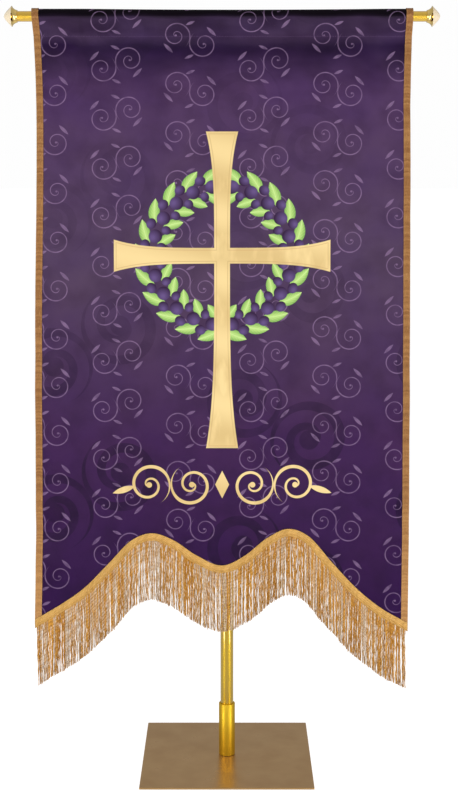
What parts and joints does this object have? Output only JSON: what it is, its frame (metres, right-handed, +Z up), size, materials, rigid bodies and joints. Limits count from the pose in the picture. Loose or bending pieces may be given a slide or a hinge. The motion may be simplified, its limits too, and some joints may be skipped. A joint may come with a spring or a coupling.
{
  "type": "church banner on a floor stand",
  "caption": "Satin church banner with a shaped, fringed hem and braided sides, hung by its sleeve from the crossbar of a gold floor stand with a square base plate.",
  "frame": {"origin": "centre of the base plate's underside, on the floor below the pole", "axes": "+Z up along the pole, +X along the crossbar to the right as seen from the front, and the banner's face looks along -Y"},
  "size_m": [1.047, 0.414, 1.8508],
  "materials": {
    "purple_satin": "purple polyester satin, printed, soft sheen",
    "copper_braid": "ribbed coppery gold braid",
    "gold_fringe": "gold rayon fringe with a woven header",
    "gold_metal": "polished brass plating",
    "bronze_plate": "satin bronze lacquer on steel"
  },
  "bodies": {
    "root": {"banner_cloth": "purple_satin", "trim_left": "copper_braid", "trim_right": "copper_braid", "fringe": "gold_fringe", "crossbar_tube": "gold_metal", "crossbar_end_left": "gold_metal", "crossbar_end_right": "gold_metal", "finial_left": "gold_metal", "finial_right": "gold_metal", "crossbar_bracket": "gold_metal", "pole": "gold_metal", "base_socket": "gold_metal", "base_plate": "bronze_plate"}
  },
  "joints": []
}
